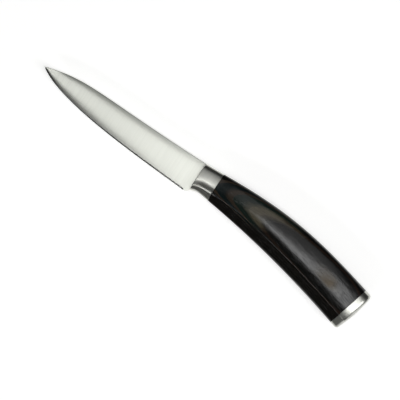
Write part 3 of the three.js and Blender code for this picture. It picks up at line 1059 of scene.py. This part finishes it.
# %% Polished veneer
GRAIN_SIZE = (26, 0.5, 0.5)
PORE_SIZE = (2.2, 0.16, 0.16)
PORE_LEVELS = (0.62, 0.72)
PORE_SHADE = 0.35
POLISH_SIZE = (7, 0.9, 0.9)
POLISH_DEPTH = 0.026
WAVE_SIZE = (16, 6, 6)
WAVE_DEPTH = 0.06
SPECKLE_SIZE = (5, 0.9, 0.9)
POLISH_ROUGHNESSES = (0.09, 0.28)
DULLING = 0.35


def veneer(name, tones, more_tones=(), dull_share=None):
    """Polished veneer, streaked in two shades of one tone. More tones can lie over it, each with a function
    for its share, and a function can give the share of a duller polish."""
    finish, tree, shader = new_finish(name)
    grain = spread(tree, drawn_out_noise(tree, GRAIN_SIZE, detail=4, roughness=0.6), 0, 1)
    colour = blend_colours(tree, grain, *tones)
    for over, share in more_tones:
        colour = blend_colours(tree, share(tree), colour, blend_colours(tree, grain, *over))
    pores = rescale(tree, drawn_out_noise(tree, PORE_SIZE, detail=1), *PORE_LEVELS, 1, PORE_SHADE)
    pored = add_node(tree, "ShaderNodeVectorMath", {0: colour, "Scale": pores}, operation="SCALE")

    speckle = drawn_out_noise(tree, SPECKLE_SIZE, detail=3, place=along_bow(tree))
    sheen = spread(tree, speckle, *POLISH_ROUGHNESSES)
    if dull_share:
        sheen = calculate(tree, "MULTIPLY_ADD", dull_share(tree), DULLING, sheen)

    polish = drawn_out_noise(tree, POLISH_SIZE, detail=3, place=along_bow(tree))
    waves = drawn_out_noise(tree, WAVE_SIZE, detail=1)
    relief = calculate(tree, "MULTIPLY_ADD", waves, WAVE_DEPTH / POLISH_DEPTH, polish)
    fill(tree, shader, {
        "Base Color": pored.outputs[0],
        "Roughness": sheen,
        "Normal": raised_marks(tree, relief, POLISH_DEPTH),
    })
    return finish


print("veneer ready, with a grain", GRAIN_SIZE[0], "mm long")

# %% Tones of the veneers
BROWN = ((0.026, 0.019, 0.013), (0.04, 0.029, 0.02))
DARK_BROWN = ((0.0055, 0.0036, 0.0022), (0.012, 0.0078, 0.005))
RED_BROWN = ((0.014, 0.008, 0.005), (0.022, 0.0125, 0.008))
TAN = ((0.075, 0.065, 0.042), (0.1, 0.088, 0.06))
OCHRE = ((0.13, 0.094, 0.045), (0.16, 0.117, 0.058))
BLACK = ((0.0016, 0.0016, 0.0013), (0.0045, 0.0045, 0.004))
BLUE_BLACK = ((0.0025, 0.0065, 0.007), (0.005, 0.011, 0.0115))
GREEN_BLACK = ((0.006, 0.013, 0.0095), (0.01, 0.019, 0.0145))
BROWN_BLEED = 0.25
TAN_BLEED = 0.3

black_behind = (BLACK, darker_behind)
bled_brown = (BROWN, bled_into(BROWN_START - BROWN_BLEED, BROWN_START))
bled_tan = (TAN, bled_into(TAN_START - TAN_BLEED, TAN_START))
sanded_tones = [(TAN, sanded_through), (OCHRE, left_on_top)]

brown_finish = veneer("brown_veneer", BROWN, [(DARK_BROWN, darker_behind)])
dark_brown_finish = veneer("dark_brown_veneer", DARK_BROWN)
tan_finish = veneer("tan_veneer", TAN, [(RED_BROWN, darker_behind)])
black_finish = veneer("black_veneer", BLACK)
outer_black_finish = veneer("outer_black_veneer", BLACK, sanded_tones, dull_share=left_on_top)
blue_black_finish = veneer("blue_black_veneer", BLUE_BLACK, [bled_brown, black_behind])
green_black_finish = veneer("green_black_veneer", GREEN_BLACK, [bled_tan, black_behind])

print("veneer finishes from", brown_finish.name, "to", green_black_finish.name)

# %% [markdown]
# ## Grip
#
# Shaping the block of veneers cuts through them, and each shows as a band that follows the swell like a
# height line on a map. The bands could be painted on, but the same is done here as on the bench: one smooth
# form of the grip is made, and each ply is the slice of it between two heights. So every band lies where its
# ply does.

# %% Form of the grip
GRIP_STEPS = 110

grip_start = BOLSTER_LENGTH + GLUE_LINE
grip_loops = []
for share in np.linspace(0, 1, GRIP_STEPS):
    grip_loops.append(hilt_loop(lerp(grip_start, HILT_LENGTH, share), CAP_SLANT * share))
grip_form = loft(grip_loops)

print("grip form faces:", len(grip_form.faces))

# %% Veneers
CUT_TOLERANCE = 1e-7
BROWN_FINISHES = {5: brown_finish, 6: brown_finish, 7: tan_finish}
BLACK_FINISHES = {5: blue_black_finish, 6: green_black_finish, 7: outer_black_finish}


def cut_away(form, height, direction):
    """Cuts a form level at a height and keeps what is below, or above if the direction is down."""
    cut = bmesh.ops.bisect_plane(
        form, geom=[*form.verts, *form.edges, *form.faces], dist=CUT_TOLERANCE,
        plane_co=in_frame((0, 0, height)), plane_no=(0, 0, direction), clear_outer=True,
    )
    rim = [part for part in cut["geom_cut"] if isinstance(part, bmesh.types.BMEdge)]
    for edge in rim:
        edge.smooth = False
    if rim:
        for face in bmesh.ops.edgeloop_fill(form, edges=rim)["faces"]:
            face.smooth = False


def add_ply(node, inner, outer, direction, finish):
    """Slices a ply from the form of the grip; the outermost one goes up to the surface."""
    ply = grip_form.copy()
    cut_away(ply, direction * inner, -direction)
    if outer is not None:
        cut_away(ply, direction * outer, direction)
    fit_to_knife(as_object(node + "_ply", ply, finish), node)


for side, direction in (("left", 1), ("right", -1)):
    level = CORE_HALF
    for pair in range(1, PLY_PAIRS + 1):
        brown_top = level + BROWN_VENEER
        black_top = brown_top + BLACK_VENEER if pair < PLY_PAIRS else None
        browns = BROWN_FINISHES.get(pair, dark_brown_finish)
        blacks = BLACK_FINISHES.get(pair, black_finish)
        add_ply(f"{side}_brown_veneer_{pair}", level, brown_top, direction, browns)
        add_ply(f"{side}_black_veneer_{pair}", brown_top, black_top, direction, blacks)
        level = black_top
grip_form.free()

# %% [markdown]
# ## Core of the grip
#
# The middle layer is split by the channel for the tang: one strip fills the spine side, one the belly side.
# They show only as a thin line along the back and the belly, where the left and right plies meet. A strip
# isn't sliced from the grip, because its inner face follows the tang, so it gets loops of its own.

# %% Core strips
CORE_STEPS = 4
SHARP_CORNERS = 4


def core_strip(is_spine):
    """Loops of a strip, from its outer face, which is part of the grip's surface, in to the channel."""
    widths = CORE_HALF * np.linspace(0, 1, CORE_STEPS + 1)
    loops = []
    for share in np.linspace(0, 1, GRIP_STEPS):
        x = lerp(grip_start, HILT_LENGTH, share)
        middle, lean = middle_height(x), math.tan(CAP_SLANT * share)
        inner = tang_reach(x) + TANG_CLEARANCE
        height = np.full(len(widths), middle)
        for _ in range(SETTLING_PASSES):
            top, crest, _, keel, belly, half, _, keel_half = section_lines(x + lean * (height - middle))
            if is_spine:
                inset = widths / half / (1 - dome_at(x))
                height = lerp(crest, top, (1 - inset ** squareness_at(x)) ** (1 / squareness_at(x)))
            else:
                height = lerp(belly, keel, (widths / keel_half) ** BELLY_FLATNESS)
        heights = np.append(height, middle + inner if is_spine else middle - inner)
        halves = np.append(widths, CORE_HALF)
        loops.append(mirrored_loop(np.column_stack([x + lean * (heights - middle), heights, halves])))
    return loops if is_spine else [loop * (1, 1, -1) for loop in loops]


core_creases = range(CORE_STEPS, CORE_STEPS + SHARP_CORNERS)
for node, is_spine in (("spine_core_strip", True), ("belly_core_strip", False)):
    strip = as_object(node + "_fitted", loft(core_strip(is_spine), core_creases), black_finish)
    fit_to_knife(strip, node)

# %% [markdown]
# ## Last measures
#
# The far corner of the box around the finished knife is measured against the same corner of the frame's box,
# to show how far the finer pieces make it grow; they are meant not to.

# %% Sizes and end of the lesson
visual_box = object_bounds()
growth = [round((mine - theirs) / MM, 3) for mine, theirs in zip(visual_box[1], cad_box[1])]
print("growth of the far corner, mm:", growth)
